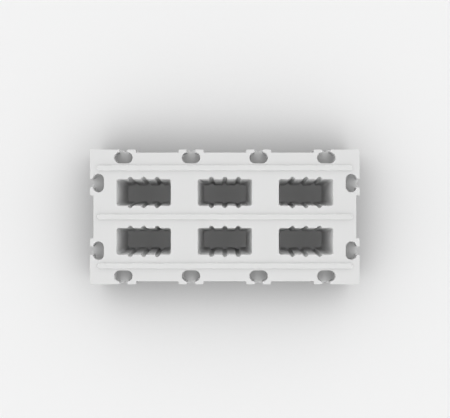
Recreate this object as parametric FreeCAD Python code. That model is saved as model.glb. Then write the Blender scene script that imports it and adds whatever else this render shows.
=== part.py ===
import FreeCAD, Part

import os
from math import hypot, sqrt

# Moulded float section of a sectional dock, in mm, lying on its deck face.
# X runs along the length, Y across, and Z up to the underside with its wells and runners.
# The origin is the middle of the deck face.

# Hull
length = 3000.0
width = 1500.0
hull_height = 388.0
wall = 9.0
corner_radius = 12.0
edge_break = 4.0

# Coupler pockets, let into both faces along all four sides
pocket_pitch = 753.0
long_side_pocket_count = 4
short_side_pocket_count = 2
pocket_head_width = 205.0
pocket_head_depth = 125.0
pocket_neck_width = 94.0
pocket_neck_length = 30.0
pocket_lip_radius = 8.0
pocket_height = 80.0

# Upright half-round channel for the coupling bolt, from pocket to pocket
channel_radius = 17.0
channel_rim_radius = 4.0

# Bosses round the pockets, with the sides recessed between them
boss_margin = 35.5
boss_corner_radius = 10.0
recess_depth_long = 34.0
recess_depth_short = 38.0
recess_corner_radius = 10.0

# Wells that rise from the underside to the back of the deck, clear of the pockets all round
well_column_count = 3
well_row_count = 2
well_length = 606.0
well_width = 300.0
well_clearance_at_ends = 139.0
well_clearance_at_sides = 173.0
well_corner_radius = 26.0
well_draft_inset = 48.0
well_floor_break = 10.0

# Upright half-round flutes in the long walls of each well
flute_count = 3
flute_pitch = 150.0
flute_radius = 28.0
flute_depth = 25.0
flute_rim_radius = 12.0

# Runners that the section is dragged on, raised from the underside, clear of the pockets
runner_count = 3
runner_clearance = 20.0
runner_end_gap = 76.0
runner_top_width = 44.0
runner_flank = 8.0
runner_height = 12.0

# Follows from the sizes above
pocket_reach = pocket_neck_length + pocket_head_depth
boss_half_width = pocket_head_width / 2 + boss_margin
water_pocket_floor = hull_height - pocket_height
well_depth = hull_height - 2 * wall
last_well_x = length / 2 - pocket_reach - well_clearance_at_ends - well_length / 2
last_well_y = width / 2 - pocket_reach - well_clearance_at_sides - well_width / 2
runner_length = length - 2 * runner_end_gap
last_runner_y = width / 2 - pocket_reach - runner_clearance - runner_flank - runner_top_width / 2

smallest_radius = 1.0
same = 1e-6
arc_middle = 1 - 1 / sqrt(2)


def spread(count, pitch):
    """Places of a row of equal features, centred on zero."""
    return [(i - (count - 1) / 2) * pitch for i in range(count)]


def spread_to(count, last):
    """Places of a row of equal features, the outermost at last on either hand."""
    return spread(count, 2 * last / max(count - 1, 1))


def eased(radius, grow):
    """Radius of a corner of the material once its surface has moved in by grow."""
    return max(radius - grow, smallest_radius)


def bend(start, end, centre):
    """Short arc from start to end about centre, as its middle point and its end."""
    radius = hypot(start[0] - centre[0], start[1] - centre[1])
    out_s = start[0] + end[0] - 2 * centre[0]
    out_d = start[1] + end[1] - 2 * centre[1]
    reach = radius / hypot(out_s, out_d)
    return [(centre[0] + out_s * reach, centre[1] + out_d * reach), end]


# Each shape below is let into one side of a rectangle. s runs along the side, and d goes
# into the material. A step of one point is a straight run, and one of two is an arc.
# grow moves the whole surface that far into the material, as a wall or a broken edge does.

def scallop(s, radius, depth, rim, grow=0):
    """Round notch of the given depth, with its rims blended into the side."""
    radius = radius + grow
    rim = eased(rim, grow)
    out = radius - depth
    foot = sqrt((radius + rim) ** 2 - (rim + out) ** 2)
    share = radius / (radius + rim)
    touch_s = share * foot
    touch_d = share * (rim + out) - out
    return [
        [(s - foot, 0)],
        bend((s - foot, 0), (s - touch_s, touch_d), (s - foot, rim)),
        [(s, depth), (s + touch_s, touch_d)],
        bend((s + touch_s, touch_d), (s + foot, 0), (s + foot, rim)),
    ]


def channel(s, grow=0):
    """Bolt channel, half round in the side."""
    return scallop(s, channel_radius, channel_radius, channel_rim_radius, grow)


def keyhole(s, grow=0):
    """Coupler pocket: a short neck from the side into a head with round ends."""
    neck = pocket_neck_width / 2 + grow
    lip = eased(pocket_lip_radius, grow)
    end_radius = pocket_head_depth / 2 + grow
    end_s = (pocket_head_width - pocket_head_depth) / 2
    end_d = pocket_neck_length + pocket_head_depth / 2 - grow
    shoulder = end_d - sqrt((end_radius + lip) ** 2 - (neck + lip - end_s) ** 2)
    share = end_radius / (end_radius + lip)
    touch_s = end_s + share * (neck + lip - end_s)
    touch_d = end_d - share * (end_d - shoulder)
    tip = end_s + end_radius
    back = end_d + end_radius
    return [
        [(s - neck - lip, 0)],
        bend((s - neck - lip, 0), (s - neck, lip), (s - neck - lip, lip)),
        [(s - neck, shoulder)],
        bend((s - neck, shoulder), (s - touch_s, touch_d), (s - neck - lip, shoulder)),
        [(s - tip, end_d), (s - end_s, back)],
        [(s + end_s, back)],
        [(s + tip, end_d), (s + touch_s, touch_d)],
        bend((s + touch_s, touch_d), (s + neck, shoulder), (s + neck + lip, shoulder)),
        [(s + neck, lip)],
        bend((s + neck, lip), (s + neck + lip, 0), (s + neck + lip, lip)),
    ]


def keyhole_back(s, grow):
    """Inside of the wall round a coupler pocket, where the lips of the neck are solid."""
    tip = pocket_head_width / 2 + grow
    back = pocket_reach
    turn = pocket_head_depth / 2 + grow
    bow = turn * arc_middle
    return [
        [(s - tip, 0)],
        [(s - tip, back - turn)],
        [(s - tip + bow, back - bow), (s - tip + turn, back)],
        [(s + tip - turn, back)],
        [(s + tip - bow, back - bow), (s + tip, back - turn)],
        [(s + tip, 0)],
    ]


def recess(before, after, depth, grow):
    """Flat step back of the side, from the boss at before to the boss at after."""
    start = before + boss_half_width - grow
    stop = after - boss_half_width + grow
    outer = eased(boss_corner_radius, grow)
    inner = recess_corner_radius + grow
    near = outer * arc_middle
    far = inner * arc_middle
    return [
        [(start - outer, 0)],
        [(start - near, near), (start, outer)],
        [(start, depth - inner)],
        [(start + far, depth - far), (start + inner, depth)],
        [(stop - inner, depth)],
        [(stop - far, depth - far), (stop, depth - inner)],
        [(stop, outer)],
        [(stop + near, near), (stop + outer, 0)],
    ]


def ring(centre, half_x, half_y, corner, sides, into, z):
    """Closed outline round a rectangle. into is 1 with the material inside it, or -1."""
    def place(side, s, d):
        x, y = [(s, into * d - half_y), (half_x - into * d, s),
                (-s, half_y - into * d), (into * d - half_x, -s)][side]
        return FreeCAD.Vector(centre[0] + x, centre[1] + y, z)

    turn = corner * arc_middle
    edges = []
    at = place(0, corner - half_x, 0)
    for side, half in enumerate([half_x, half_y, half_x, half_y]):
        steps = [step for shape in sides[side] for step in shape]
        steps.append([(half - corner, 0)])
        steps.append([(half - turn, turn * into), (half, corner * into)])
        for step in steps:
            points = [place(side, s, d) for s, d in step]
            if len(points) == 2:
                edges.append(Part.Arc(at, points[0], points[1]).toShape())
            elif not at.isEqual(points[0], same):
                edges.append(Part.LineSegment(at, points[0]).toShape())
            at = points[-1]
    return Part.Wire(edges)


def ruled(outlines):
    """Solid with straight walls from each outline to the next."""
    return Part.makeLoft(outlines, True, True)


def wall_between(low, high):
    """Faces from one outline to the next, edge by edge. An arc that only moves is carried along."""
    faces = []
    for a, b in zip(low.OrderedEdges, high.OrderedEdges):
        a_start, a_end = a.valueAt(a.FirstParameter), a.valueAt(a.LastParameter)
        b_start, b_end = b.valueAt(b.FirstParameter), b.valueAt(b.LastParameter)
        if a.Curve.TypeId == "Part::GeomLine":
            faces.append(Part.Face(Part.makePolygon([a_start, a_end, b_end, b_start, a_start])))
        elif abs(a.Curve.Radius - b.Curve.Radius) < same:
            faces.append(a.extrude(b_start - a_start))
        else:
            faces.append(Part.makeRuledSurface(a, b))
    return faces


def drafted(outlines):
    """Solid through outlines that narrow with their draft but keep their radii."""
    faces = [Part.Face(outlines[0]), Part.Face(outlines[-1])]
    for low, high in zip(outlines, outlines[1:]):
        faces += wall_between(low, high)
    shell = Part.makeShell(faces)
    shell.sewShape()
    return Part.makeSolid(shell)


def hull_outline(at_pocket, grow, z):
    """Outline of the hull, with one shape at each pocket's place and recesses between."""
    sides = []
    long_side = (long_side_pocket_count, recess_depth_long)
    short_side = (short_side_pocket_count, recess_depth_short)
    for count, depth in [long_side, short_side]:
        places = spread(count, pocket_pitch)
        shapes = [at_pocket(places[0], grow)]
        for before, after in zip(places, places[1:]):
            shapes.append(recess(before, after, depth, grow))
            shapes.append(at_pocket(after, grow))
        sides.append(shapes)
    corner = eased(corner_radius, grow)
    return ring((0, 0), length / 2 - grow, width / 2 - grow, corner, sides * 2, 1, z)


def hull_layer(at_pocket, grow, low, high):
    """Level slice of the hull from low to high."""
    return Part.Face(hull_outline(at_pocket, grow, low)).extrude(FreeCAD.Vector(0, 0, high - low))


def pocket_layer(face_z, floor_z):
    """Slice of the hull between one face, where its edge is broken, and the pocket floors."""
    toward = 1 if floor_z > face_z else -1
    return ruled([
        hull_outline(keyhole, edge_break, face_z),
        hull_outline(keyhole, 0, face_z + toward * edge_break),
        hull_outline(keyhole, 0, floor_z),
    ])


def well_centres():
    rows = spread_to(well_row_count, last_well_y)
    return [(x, y) for x in spread_to(well_column_count, last_well_x) for y in rows]


def well_outline(centre, depth, grow):
    """Outline of a well at a depth below the underside, narrowed there by its draft."""
    inset = well_draft_inset * depth / well_depth
    flutes = [scallop(s, flute_radius, flute_depth, flute_rim_radius, grow)
              for s in spread(flute_count, flute_pitch)]
    half_x = well_length / 2 - inset + grow
    half_y = well_width / 2 - inset + grow
    corner = well_corner_radius + grow
    return ring(centre, half_x, half_y, corner, [flutes, [], flutes, []], -1, hull_height - depth)


def well(centre):
    """Open space of a well, with its lip and the foot of its walls broken."""
    return drafted([
        well_outline(centre, well_depth, -well_floor_break),
        well_outline(centre, well_depth - well_floor_break, 0),
        well_outline(centre, edge_break, 0),
        well_outline(centre, 0, edge_break),
    ])


def well_back(centre):
    """Block that a well and its walls take out of the air space, right down through the deck."""
    return drafted([well_outline(centre, hull_height, wall), well_outline(centre, 0, wall)])


def runner(y, grow, low):
    """Raised runner with slanted flanks and round ends."""
    outlines = []
    for flank, z in [(runner_flank, low), (0, low + runner_height)]:
        half_across = runner_top_width / 2 + flank - grow
        half_along = runner_length / 2 - runner_flank + flank - grow
        outlines.append(ring((0, y), half_along, half_across, half_across, [[], [], [], []], 1, z))
    return ruled(outlines)


def runners(grow, low):
    return [runner(y, grow, low) for y in spread_to(runner_count, last_runner_y)]


def hull():
    """Outside of the section, as a full block."""
    block = hull_layer(channel, 0, pocket_height, water_pocket_floor).fuse([
        pocket_layer(0, pocket_height),
        pocket_layer(hull_height, water_pocket_floor),
    ]).removeSplitter()
    return block.cut([well(centre) for centre in well_centres()]).fuse(runners(0, hull_height))


def air_space():
    """Sealed space inside the walls, round the wells, the pockets and the channels."""
    low = pocket_height + wall
    high = water_pocket_floor - wall
    space = hull_layer(channel, wall, low, high).fuse([
        hull_layer(keyhole_back, wall, wall, low),
        hull_layer(keyhole_back, wall, high, hull_height - wall),
    ] + runners(wall, hull_height - wall)).removeSplitter()
    return space.cut([well_back(centre) for centre in well_centres()])


def hollow(block, space):
    """Solid with the surface of the block outside and that of the space inside."""
    skins = [block.Solids[0].OuterShell, space.Solids[0].OuterShell.reversed()]
    return Part.makeSolid(Part.makeCompound(skins))


os.makedirs("parts", exist_ok=True)
pontoon_shell = hollow(hull(), air_space())
pontoon_shell.exportStep("parts/pontoon_shell.step")
print("pontoon_shell: %.1f litres of material" % (pontoon_shell.Volume / 1e6))
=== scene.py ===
import math

import bmesh
import bpy
import numpy as np
from mathutils.geometry import tessellate_polygon
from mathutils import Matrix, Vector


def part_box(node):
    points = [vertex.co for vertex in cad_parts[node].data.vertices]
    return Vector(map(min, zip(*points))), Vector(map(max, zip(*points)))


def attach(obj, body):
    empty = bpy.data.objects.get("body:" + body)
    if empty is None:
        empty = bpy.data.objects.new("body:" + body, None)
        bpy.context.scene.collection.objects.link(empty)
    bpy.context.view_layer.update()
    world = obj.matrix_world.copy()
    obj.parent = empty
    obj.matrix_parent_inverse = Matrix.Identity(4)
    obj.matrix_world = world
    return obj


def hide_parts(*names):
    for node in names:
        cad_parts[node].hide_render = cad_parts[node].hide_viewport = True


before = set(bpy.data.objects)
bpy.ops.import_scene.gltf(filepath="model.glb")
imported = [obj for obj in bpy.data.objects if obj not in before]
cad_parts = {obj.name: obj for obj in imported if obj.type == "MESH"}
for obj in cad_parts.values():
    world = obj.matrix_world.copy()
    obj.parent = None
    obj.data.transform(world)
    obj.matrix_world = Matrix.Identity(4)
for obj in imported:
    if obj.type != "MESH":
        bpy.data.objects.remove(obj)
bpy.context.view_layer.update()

print("frame loaded")


# Paths. A path is two arrays, points (s, d) and normals. s runs along a side, d goes
# into the plastic, and a normal points out of the plastic into the open air.

arcStepDegrees = 10.0       # the most that a round turns from one point to the next
onAxis = 1e-9               # a point this near to s = 0 is its own mirror image


# Points on a straight run from start to finish, all with the one normal
def line(start, finish, normal, steps=1):
    share = np.linspace(0.0, 1.0, steps + 1)[:, None]
    points = (1.0 - share) * np.array(start) + share * np.array(finish)
    return points, np.tile(np.array(normal, float), (steps + 1, 1))


# Points centre + radius (cos a, sin a) at equal turns of a. The normal is that ray,
# or its opposite where the centre lies in the open air
def arc(centre, radius, fromAngle, toAngle, hollow=False):
    steps = max(2, math.ceil(abs(toAngle - fromAngle) / arcStepDegrees))
    turn = np.radians(np.linspace(fromAngle, toAngle, steps + 1))
    ray = np.stack([np.cos(turn), np.sin(turn)], 1)
    return np.array(centre) + radius * ray, -ray if hollow else ray


# Paths laid end to end, where each begins at the last point of the one before
def chain(paths):
    points = [p[:-1] for p, n in paths[:-1]] + [paths[-1][0]]
    normals = [n[:-1] for p, n in paths[:-1]] + [paths[-1][1]]
    return np.concatenate(points), np.concatenate(normals)


# A path followed by its mirror image across s = 0, then moved along by s
def mirrored(path, s):
    points, normals = path
    flip = np.array([-1.0, 1.0])
    first = 1 if abs(points[-1, 0]) < onAxis else 0
    points = np.concatenate([points, (points * flip)[::-1][first:]])
    normals = np.concatenate([normals, (normals * flip)[::-1][first:]])
    return points + np.array([s, 0.0]), normals


# A path on side 0 to 3 of a rectangle with the given half sizes, turned a quarter for each
# side. into is 1 where the plastic lies inside the rectangle, and -1 where it lies outside
def onSide(side, path, half, into=1):
    points, normals = path
    across = np.stack([points[:, 0], into * points[:, 1] - half[1 - side % 2]], 1)
    facing = np.stack([normals[:, 0], into * normals[:, 1]], 1)
    c, s = ((1, 0), (0, 1), (-1, 0), (0, -1))[side]
    quarter = np.array([[c, s], [-s, c]], float)
    return across @ quarter, facing @ quarter


# Surfaces. Everything is gathered as plain triangles and welded at the end.

patches = []


# Triangles between the rows of a grid of points, rows going down and columns going
# along a path that has the open air on its right
def addGrid(grid, closed=False):
    if closed:
        grid = np.concatenate([grid, grid[:, :1]], 1)
    rows, columns = grid.shape[:2]
    index = np.arange(rows * columns).reshape(rows, columns)
    topLeft, topRight = index[:-1, :-1].ravel(), index[:-1, 1:].ravel()
    lowLeft, lowRight = index[1:, :-1].ravel(), index[1:, 1:].ravel()
    faces = np.concatenate([np.stack([lowLeft, lowRight, topRight], 1),
                            np.stack([lowLeft, topRight, topLeft], 1)])
    patches.append((grid.reshape(-1, 3), faces))


# Level triangles with their inner edges swapped until none has its three corners in line
def wellShaped(points, faces):
    mesh = bpy.data.meshes.new("levelFace")
    mesh.from_pydata(points, [], faces)
    work = bmesh.new()
    work.from_mesh(mesh)
    bmesh.ops.beautify_fill(work, faces=work.faces, edges=work.edges)
    work.to_mesh(mesh)
    work.free()
    better = np.zeros(len(mesh.polygons) * 3, int)
    mesh.loops.foreach_get("vertex_index", better)
    bpy.data.meshes.remove(mesh)
    return better.reshape(-1, 3)


# A level face bounded by loops, the first outside and the rest holes, looking up or down.
# A triangle that looks the wrong way, by the sign of its area, is turned over
def addLevelFace(loops, up):
    points = np.concatenate(loops)
    faces = wellShaped(points, tessellate_polygon([loop.tolist() for loop in loops]))
    a, b, c = (points[faces[:, k], :2] for k in range(3))
    area = (b[:, 0] - a[:, 0]) * (c[:, 1] - a[:, 1]) - (b[:, 1] - a[:, 1]) * (c[:, 0] - a[:, 0])
    wrong = (area < 0) if up else (area > 0)
    faces[wrong] = faces[wrong][:, ::-1]
    patches.append((points, faces))


# A profile carried along a path: out is how far each row stands off along the normal, and
# height is its z. Each is one value a row, or a whole grid of them
def carry(path, out, height):
    points, normals = path
    shape = len(height), len(points)
    out, height = (np.broadcast_to(v if v.ndim == 2 else v[:, None], shape) for v in (out, height))
    level = points + out[:, :, None] * normals
    return np.concatenate([level, height[:, :, None]], 2)


# A quarter round from a level face over to an upright one. Rows of out and drop, for radius 1
def overRound(steps):
    turn = np.linspace(0.0, math.pi / 2, steps + 1)
    return -(1 - np.sin(turn)), 1 - np.cos(turn)


# A quarter round from an upright face out on to a level one. Rows of out and rise, for radius 1
def footRound(steps):
    turn = np.linspace(0.0, math.pi / 2, steps + 1)
    return 1 - np.cos(turn), 1 - np.sin(turn)


hull = {
    "runnerHeight": 0.012,      # the runners stand this far above the underside
    "cornerRadius": 0.012,
    "edgeRadius": 0.005,        # round along the edges of both faces
    "edgeSteps": 5,
    "pocketPitch": 0.753,
    "pocketsOnSide": (4, 2),    # long side, short side
    "bossHalfWidth": 0.138,
    "bossCorner": 0.010,
    "recessCorner": 0.010,
    "recessDepth": (0.034, 0.038),
}
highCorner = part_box("pontoon_shell")[1]
hullHalf = highCorner.x, highCorner.y
top = highCorner.z - hull["runnerHeight"]

pocket = {
    "headWidth": 0.205,
    "headDepth": 0.125,
    "neckHalfWidth": 0.047,
    "neckLength": 0.030,
    "lipRadius": 0.008,
    "height": 0.080,
    "floorRound": 0.009,        # where the walls run out on to the floor
    "floorSteps": 4,
    "floorRoundPerDepth": 0.6,  # it fades out towards the side of the section
    "sillRadius": 0.003,        # round where the floor meets the side
    "sillFade": 0.010,
    "sillSteps": 3,
}
mouthHalfWidth = pocket["neckHalfWidth"] + pocket["lipRadius"]

channel = {"radius": 0.017, "rimRadius": 0.004, "plainSteps": 8}


# Where the pockets of a side lie, measured from its middle
def pocketPlaces(side):
    count = hull["pocketsOnSide"][side % 2]
    return [(i - (count - 1) / 2) * hull["pocketPitch"] for i in range(count)]


# A keyhole in plan: a lip round, a straight neck, a round into the head, and the round
# end of the head about (-endS, endD), then the same mirrored
def keyhole(s):
    neck, lip = pocket["neckHalfWidth"], pocket["lipRadius"]
    endRadius = pocket["headDepth"] / 2
    endS = (pocket["headWidth"] - pocket["headDepth"]) / 2
    endD = pocket["neckLength"] + endRadius
    away = neck + lip - endS
    shoulder = endD - math.sqrt((endRadius + lip) ** 2 - away ** 2)
    meet = math.degrees(math.atan2(endD - shoulder, away))
    return mirrored(chain([
        arc((-neck - lip, lip), lip, -90.0, 0.0),
        line((-neck, lip), (-neck, shoulder), (1.0, 0.0)),
        arc((-neck - lip, shoulder), lip, 0.0, meet),
        arc((-endS, endD), endRadius, 180.0 + meet, 90.0, hollow=True),
    ]), s)


# A half-round notch of the given depth with its rims rounded over, as far as its deepest
# point, and how far it reaches along the side. out is how far its centre lies in front
def notch(radius, depth, rim):
    out = radius - depth
    foot = math.sqrt((radius + rim) ** 2 - (rim + out) ** 2)
    meet = math.degrees(math.atan2(rim + out, foot))
    return foot, chain([
        arc((-foot, rim), rim, -90.0, -meet),
        arc((0.0, -out), radius, 180.0 - meet, 90.0, hollow=True),
    ])


# The side between a pocket's two floors: straight to the bolt channel, round it, and on
def boltChannel(s):
    foot, rounds = notch(channel["radius"], channel["radius"], channel["rimRadius"])
    plain = line((-mouthHalfWidth, 0.0), (-foot, 0.0), (0.0, -1.0), channel["plainSteps"])
    return mirrored(chain([plain, rounds]), s)


# The side from one pocket's mouth to the next: the boss, a flat step back, and the next boss
def recess(before, after, depth):
    outer, inner = hull["bossCorner"], hull["recessCorner"]
    middle, half = (before + after) / 2, (after - before) / 2
    edge = -half + hull["bossHalfWidth"]
    return mirrored(chain([
        line((-half + mouthHalfWidth, 0.0), (edge - outer, 0.0), (0.0, -1.0)),
        arc((edge - outer, outer), outer, -90.0, 0.0),
        line((edge, outer), (edge, depth - inner), (1.0, 0.0)),
        arc((edge + inner, depth - inner), inner, 180.0, 90.0, hollow=True),
    ]), middle)


# The side from its last mouth, round the section's corner, to the next side's first mouth
def corner(side, last):
    radius = hull["cornerRadius"]
    there = (side + 1) % 4
    half, otherHalf = hullHalf[side % 2], hullHalf[there % 2]
    first = pocketPlaces(there)[0]
    return chain([
        onSide(side, line((last + mouthHalfWidth, 0.0), (half - radius, 0.0), (0.0, -1.0)), hullHalf),
        onSide(side, arc((half - radius, radius), radius, -90.0, 0.0), hullHalf),
        onSide(there, line((radius - otherHalf, 0.0), (first - mouthHalfWidth, 0.0), (0.0, -1.0)), hullHalf),
    ])


# The upright surfaces: full-height sides between the pockets, with both edges rounded
def addSide(path):
    out, drop = overRound(hull["edgeSteps"])
    out, drop = hull["edgeRadius"] * out, hull["edgeRadius"] * drop
    floors = [top - pocket["height"], pocket["height"]]
    height = np.concatenate([top - drop, floors, drop[::-1]])
    addGrid(carry(path, np.concatenate([out, [0.0, 0.0], out[::-1]]), height))


# A pocket's wall from the rounded edge down to the floor, and the floor itself. face is 1
# for the pocket in the underside and -1 for its twin in the deck
def addPocket(path, depthOfPoint, sill, face):
    out, drop = overRound(hull["edgeSteps"])
    edgeOut, edgeDrop = (hull["edgeRadius"] * np.tile(v[:, None], len(depthOfPoint)) for v in (out, drop))
    spread, rise = footRound(pocket["floorSteps"])
    fade = np.minimum(pocket["floorRound"], pocket["floorRoundPerDepth"] * depthOfPoint)
    out = np.concatenate([edgeOut, fade * spread[:, None]])
    down = np.concatenate([edgeDrop, pocket["height"] - fade * rise[:, None]])
    grid = carry(path, out, top - down if face > 0 else down)
    addGrid(grid if face > 0 else grid[::-1])
    sillEdge = sill[0] if face > 0 else sill[-1]
    addLevelFace([np.concatenate([grid[-1], sillEdge[::-1][1:-1]])], up=face > 0)


# The web between a pocket and its twin: the side with the bolt channel, its two edges rounded
# by a radius that fades to nothing at the pocket's lips, as a smooth step of offMiddle
def addWeb(path, offMiddle):
    out, drop = overRound(pocket["sillSteps"])
    inside = np.clip((pocket["neckHalfWidth"] - offMiddle) / pocket["sillFade"], 0.0, 1.0)
    radius = pocket["sillRadius"] * inside ** 2 * (3 - 2 * inside)
    out, drop = radius * out[:, None], radius * drop[:, None]
    height = np.concatenate([top - pocket["height"] - drop, pocket["height"] + drop[::-1]])
    grid = carry(path, np.concatenate([out, out[::-1]]), height)
    addGrid(grid)
    return grid


# All four sides with their pockets, and the outline where their edges meet the level faces
def addSides():
    rim = []
    for side in range(4):
        places = pocketPlaces(side)
        for i, s in enumerate(places):
            web, outline = boltChannel(s), keyhole(s)
            sill = addWeb(onSide(side, web, hullHalf), np.abs(web[0][:, 0] - s))
            path = onSide(side, outline, hullHalf)
            for face in (1, -1):
                addPocket(path, outline[0][:, 1], sill, face)
            if i + 1 < len(places):
                onward = onSide(side, recess(s, places[i + 1], hull["recessDepth"][side % 2]), hullHalf)
            else:
                onward = corner(side, s)
            addSide(onward)
            rim += [path, onward]
    return np.concatenate([points[:-1] - hull["edgeRadius"] * normals[:-1] for points, normals in rim])


edgePoints = addSides()
print("sides and pockets done")

well = {
    "columns": 3,
    "rows": 2,
    "length": 0.606,
    "width": 0.300,
    "lastX": 0.903,
    "lastY": 0.272,
    "corner": 0.026,
    "draftInset": 0.048,        # the floor is this much narrower all round
    "floorZ": 0.018,
    "lipRadius": 0.003,
    "lipSteps": 5,
    "footRadius": 0.012,
    "footSteps": 5,
    "flutes": (-0.150, 0.0, 0.150),
    "fluteRadius": 0.028,
    "fluteDepth": 0.025,
    "fluteRim": 0.012,
}
wellDepth = top - well["floorZ"]


# A well in plan, narrowed by inset all round: flutes along its long walls and round corners.
# It is walked backwards, so that the open air lies on the right
def wellOutline(inset):
    half = well["length"] / 2 - inset, well["width"] / 2 - inset
    radius = well["corner"]
    _, rounds = notch(well["fluteRadius"], well["fluteDepth"], well["fluteRim"])
    parts = []
    for side in range(4):
        along = [mirrored(rounds, s) for s in well["flutes"]] if side % 2 == 0 else []
        along.append(arc((half[side % 2] - radius, -radius), radius, 90.0, 0.0, hollow=True))
        parts += [onSide(side, path, half, into=-1) for path in along]
    points, normals = (np.concatenate(column) for column in zip(*parts))
    return points[::-1], normals[::-1]


# A well's wall: straight from the mouth to the floor outline, with the lip rounded over and
# the foot rounded out, both measured along the mouth's normals
def wellGrid(centre):
    mouth, normals = wellOutline(0.0)
    floor, _ = wellOutline(well["draftInset"])
    out, drop = overRound(well["lipSteps"])
    spread, rise = footRound(well["footSteps"])
    out = np.concatenate([well["lipRadius"] * out, well["footRadius"] * spread])
    down = np.concatenate([well["lipRadius"] * drop, wellDepth - well["footRadius"] * rise])
    share = (down / wellDepth)[:, None, None]
    level = mouth + share * (floor - mouth) + out[:, None, None] * normals + np.array(centre)
    height = np.broadcast_to((top - down)[:, None, None], level.shape[:2] + (1,))
    return np.concatenate([level, height], 2)


holes = []
for x in np.linspace(-well["lastX"], well["lastX"], well["columns"]):
    for y in np.linspace(-well["lastY"], well["lastY"], well["rows"]):
        grid = wellGrid((x, y))
        addGrid(grid, closed=True)
        addLevelFace([grid[-1]], up=True)
        holes.append(grid[0])
print("wells done")

runner = {
    "count": 3,
    "lastY": 0.545,
    "length": 2.848,
    "topWidth": 0.044,
    "flank": 0.008,             # how far its sides slant out
    "edgeRadius": 0.003,
    "steps": 4,
}


# A runner's flank carried round its outline with round ends: a straight slope, rounded
# over at the top and out at the foot. reach is how far each round starts before the bend
def runnerGrid(y):
    across = runner["topWidth"] / 2 + runner["flank"]
    along = runner["length"] / 2 - across
    path = chain([
        line((-along, y - across), (along, y - across), (0.0, -1.0)),
        arc((along, y), across, -90.0, 90.0),
        line((along, y + across), (-along, y + across), (0.0, 1.0)),
        arc((-along, y), across, 90.0, 270.0),
    ])
    path = path[0][:-1], path[1][:-1]
    slope = math.atan2(runner["flank"], hull["runnerHeight"])
    radius = runner["edgeRadius"]
    reach = radius * math.tan((math.pi / 2 - slope) / 2)
    turn = np.linspace(math.pi / 2, slope, runner["steps"] + 1)
    over = np.stack([-runner["flank"] - reach + radius * np.cos(turn),
                     hull["runnerHeight"] - radius + radius * np.sin(turn)], 1)
    under = np.stack([reach - radius * np.cos(turn[::-1]), radius - radius * np.sin(turn[::-1])], 1)
    profile = np.concatenate([over, under])
    return carry(path, profile[:, 0], top + profile[:, 1])


for y in np.linspace(-runner["lastY"], runner["lastY"], runner["count"]):
    grid = runnerGrid(y)
    addGrid(grid, closed=True)
    addLevelFace([grid[0]], up=True)
    holes.append(grid[-1])
print("runners done")


# Points of a plan outline set at the height z
def atHeight(points, z):
    return np.concatenate([points, np.full((len(points), 1), z)], 1)


addLevelFace([atHeight(edgePoints, top)] + holes, up=True)
addLevelFace([atHeight(edgePoints, 0.0)], up=False)

weldReach = 0.000005        # points nearer than this are one


# One mesh from all the patches, welded where they meet
def weldPatches(name):
    counts = np.cumsum([0] + [len(points) for points, faces in patches])
    points = np.concatenate([points for points, faces in patches])
    faces = np.concatenate([faces + start for start, (p, faces) in zip(counts, patches)])
    mesh = bpy.data.meshes.new(name)
    mesh.from_pydata(points, [], faces)
    work = bmesh.new()
    work.from_mesh(mesh)
    bmesh.ops.remove_doubles(work, verts=work.verts, dist=weldReach)
    bmesh.ops.dissolve_degenerate(work, edges=work.edges, dist=weldReach)
    work.to_mesh(mesh)
    work.free()
    return mesh


# Shading normals: at each vertex the sum of its faces' normals, each times its area, so
# that the flats look flat and only the rounds turn
def shadeByArea(mesh):
    normals = np.zeros(len(mesh.polygons) * 3)
    areas = np.zeros(len(mesh.polygons))
    corners = np.zeros(len(mesh.loops), int)
    totals = np.zeros(len(mesh.polygons), int)
    mesh.polygons.foreach_get("normal", normals)
    mesh.polygons.foreach_get("area", areas)
    mesh.polygons.foreach_get("loop_total", totals)
    mesh.loops.foreach_get("vertex_index", corners)
    weighted = normals.reshape(-1, 3) * areas[:, None]
    sums = np.zeros((len(mesh.vertices), 3))
    np.add.at(sums, corners, np.repeat(weighted, totals, 0))
    sums /= np.maximum(np.linalg.norm(sums, axis=1), np.finfo(float).tiny)[:, None]
    mesh.polygons.foreach_set("use_smooth", np.ones(len(mesh.polygons), bool))
    mesh.normals_split_custom_set_from_vertices(sums.tolist())


skinMesh = weldPatches("pontoonSkin")
shadeByArea(skinMesh)
pontoonSkin = bpy.data.objects.new("pontoonSkin", skinMesh)
bpy.context.scene.collection.objects.link(pontoonSkin)
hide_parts("pontoon_shell")
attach(pontoonSkin, "root")
print("skin welded:", len(skinMesh.polygons), "faces")

finish = {
    "shade": (0.755, 0.757, 0.755, 1.0),
    "shadeVaried": (0.728, 0.730, 0.727, 1.0),
    "mottleScale": 3.5,
    "mottleDetail": 3.0,
    "roughLow": 0.36,
    "roughHigh": 0.50,
    "roughScale": 9.0,
    "roughDetail": 4.0,
    "waveHeight": 0.0005,       # slow waves where the wall cooled unevenly
    "waveScale": 7.0,
    "waveDetail": 1.0,
    "peelHeight": 0.00012,      # fine orange peel of the moulded skin
    "peelScale": 420.0,
    "peelDetail": 2.0,
}


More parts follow.
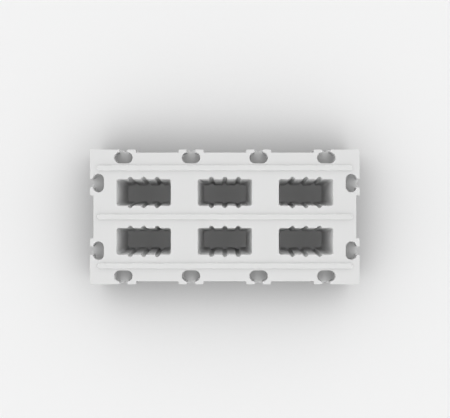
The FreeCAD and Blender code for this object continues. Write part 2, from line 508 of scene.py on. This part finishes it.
# White polyethylene: a faint mottle in colour and gloss, orange peel and slow waves
def mouldedPolyethylene():
    material = bpy.data.materials.new("mouldedPolyethylene")
    material.use_nodes = True
    nodes, links = material.node_tree.nodes, material.node_tree.links
    shader = nodes["Principled BSDF"]
    place = nodes.new("ShaderNodeTexCoord")

    def noise(name):
        texture = nodes.new("ShaderNodeTexNoise")
        texture.inputs["Scale"].default_value = finish[name + "Scale"]
        texture.inputs["Detail"].default_value = finish[name + "Detail"]
        links.new(place.outputs["Object"], texture.inputs["Vector"])
        return texture.outputs["Fac"]

    def bump(name):
        relief = nodes.new("ShaderNodeBump")
        relief.inputs["Distance"].default_value = finish[name + "Height"]
        links.new(noise(name), relief.inputs["Height"])
        return relief

    mottle = nodes.new("ShaderNodeMix")
    mottle.data_type = "RGBA"
    mottle.inputs["A"].default_value = finish["shade"]
    mottle.inputs["B"].default_value = finish["shadeVaried"]
    links.new(noise("mottle"), mottle.inputs["Factor"])
    links.new(mottle.outputs["Result"], shader.inputs["Base Color"])

    gloss = nodes.new("ShaderNodeMapRange")
    gloss.inputs["To Min"].default_value = finish["roughLow"]
    gloss.inputs["To Max"].default_value = finish["roughHigh"]
    links.new(noise("rough"), gloss.inputs["Value"])
    links.new(gloss.outputs["Result"], shader.inputs["Roughness"])

    waves, peel = bump("wave"), bump("peel")
    links.new(waves.outputs["Normal"], peel.inputs["Normal"])
    links.new(peel.outputs["Normal"], shader.inputs["Normal"])
    return material


skinMesh.materials.clear()
skinMesh.materials.append(mouldedPolyethylene())
print("finish done")

studio = {
    "floorHalfSize": 40.0,
    "floorShade": 0.905,
    # the floor's painted shadow: how far its occlusion looks, the power it is raised to, and its samples
    "shadowReach": 2.0,
    "shadowPower": 0.4,
    "shadowSamples": 8,
    "backdropShade": 0.90,
    "diffuseBounces": 0,        # no light thrown back, so the wells stay deep
    "skySteps": 400,
    "skyByHeight": ((0.0, 1.0), (0.26, 0.82), (0.42, 0.62), (0.57, 0.58), (0.71, 0.42), (0.88, 0.0),
                    (0.975, 0.0), (0.985, 0.7), (1.0, 0.7)),
}


# A level pale sheet under the section. Its colour is painted darker by a power of the open share of the sky:
# a painted shadow that deepens the section's soft shadow on it
def studioFloor():
    size = studio["floorHalfSize"]
    corners = np.array([(-size, -size, 0.0), (size, -size, 0.0), (size, size, 0.0), (-size, size, 0.0)])
    mesh = bpy.data.meshes.new("studioFloor")
    mesh.from_pydata(corners, [], [(0, 1, 2, 3)])
    floor = bpy.data.objects.new("studioFloor", mesh)
    bpy.context.scene.collection.objects.link(floor)
    material = bpy.data.materials.new("paleFloorPaintedShadow")
    material.use_nodes = True
    nodes, links = material.node_tree.nodes, material.node_tree.links
    shader = nodes["Principled BSDF"]
    shader.inputs["Roughness"].default_value = 1.0
    shader.inputs["Specular IOR Level"].default_value = 0.0
    # Painted shadow: the floor's colour is made darker where the section hides the sky, by its ambient
    # occlusion raised to a power
    openShare = nodes.new("ShaderNodeAmbientOcclusion")
    openShare.samples = studio["shadowSamples"]
    openShare.inputs["Distance"].default_value = studio["shadowReach"]
    paintedShadowFactor = nodes.new("ShaderNodeMath")
    paintedShadowFactor.operation = "POWER"
    paintedShadowFactor.inputs[1].default_value = studio["shadowPower"]
    links.new(openShare.outputs["AO"], paintedShadowFactor.inputs[0])
    # The pale shade times the painted shadow gives the floor's colour
    shade = nodes.new("ShaderNodeMath")
    shade.operation = "MULTIPLY"
    shade.inputs[1].default_value = studio["floorShade"]
    links.new(paintedShadowFactor.outputs["Value"], shade.inputs[0])
    links.new(shade.outputs["Value"], shader.inputs["Base Color"])
    mesh.materials.append(material)


# A sky that is brightest along the horizon and dark high up, with one small soft light
# straight above. It is scaled so that a level white surface gets an even 1: twice the
# integral of light times height is 1. The camera, gloss and glass see a plain backdrop
def studioSky():
    world = bpy.data.worlds.new("studioSky")
    bpy.context.scene.world = world
    world.use_nodes = True
    nodes, links = world.node_tree.nodes, world.node_tree.links
    heights, levels = (np.array(column) for column in zip(*studio["skyByHeight"]))
    fine = np.linspace(0.0, 1.0, studio["skySteps"])
    total = 2.0 * np.trapz(np.interp(fine, heights, levels) * fine, fine)
    place = nodes.new("ShaderNodeTexCoord")
    split = nodes.new("ShaderNodeSeparateXYZ")
    ramp = nodes.new("ShaderNodeValToRGB")
    ramp.color_ramp.interpolation = "LINEAR"
    stops = ramp.color_ramp.elements
    while len(stops) < len(heights):
        stops.new(0.5)
    for stop, height, level in zip(stops, heights, levels):
        stop.position = height
        stop.color = (level, level, level, 1.0)
    lights = nodes["Background"]
    lights.inputs["Strength"].default_value = 1.0 / total
    links.new(place.outputs["Generated"], split.inputs["Vector"])
    links.new(split.outputs["Z"], ramp.inputs["Fac"])
    links.new(ramp.outputs["Color"], lights.inputs["Color"])
    seen = nodes.new("ShaderNodeBackground")
    seen.inputs["Color"].default_value = (studio["backdropShade"],) * 3 + (1.0,)
    ray = nodes.new("ShaderNodeLightPath")
    sees = ray.outputs["Is Camera Ray"]
    for other in ("Is Glossy Ray", "Is Transmission Ray"):
        either = nodes.new("ShaderNodeMath")
        either.operation = "ADD"
        either.use_clamp = True
        links.new(sees, either.inputs[0])
        links.new(ray.outputs[other], either.inputs[1])
        sees = either.outputs["Value"]
    mix = nodes.new("ShaderNodeMixShader")
    links.new(sees, mix.inputs["Fac"])
    links.new(lights.outputs["Background"], mix.inputs[1])
    links.new(seen.outputs["Background"], mix.inputs[2])
    links.new(mix.outputs["Shader"], nodes["World Output"].inputs["Surface"])


view = {
    "place": (0.002, 0.088, 5.252),
    "lens": 35.0,
    "sensor": 36.0,
}


# A camera that looks straight down, with the section's length across the picture
def overheadCamera():
    camera = bpy.data.objects.new("overheadCamera", bpy.data.cameras.new("overheadCamera"))
    bpy.context.scene.collection.objects.link(camera)
    camera.data.lens = view["lens"]
    camera.data.sensor_width = view["sensor"]
    camera.location = view["place"]
    bpy.context.scene.camera = camera


studioFloor()
studioSky()
overheadCamera()
bpy.context.scene.cycles.diffuse_bounces = studio["diffuseBounces"]
bpy.context.scene.view_settings.view_transform = "Standard"
print("studio done")
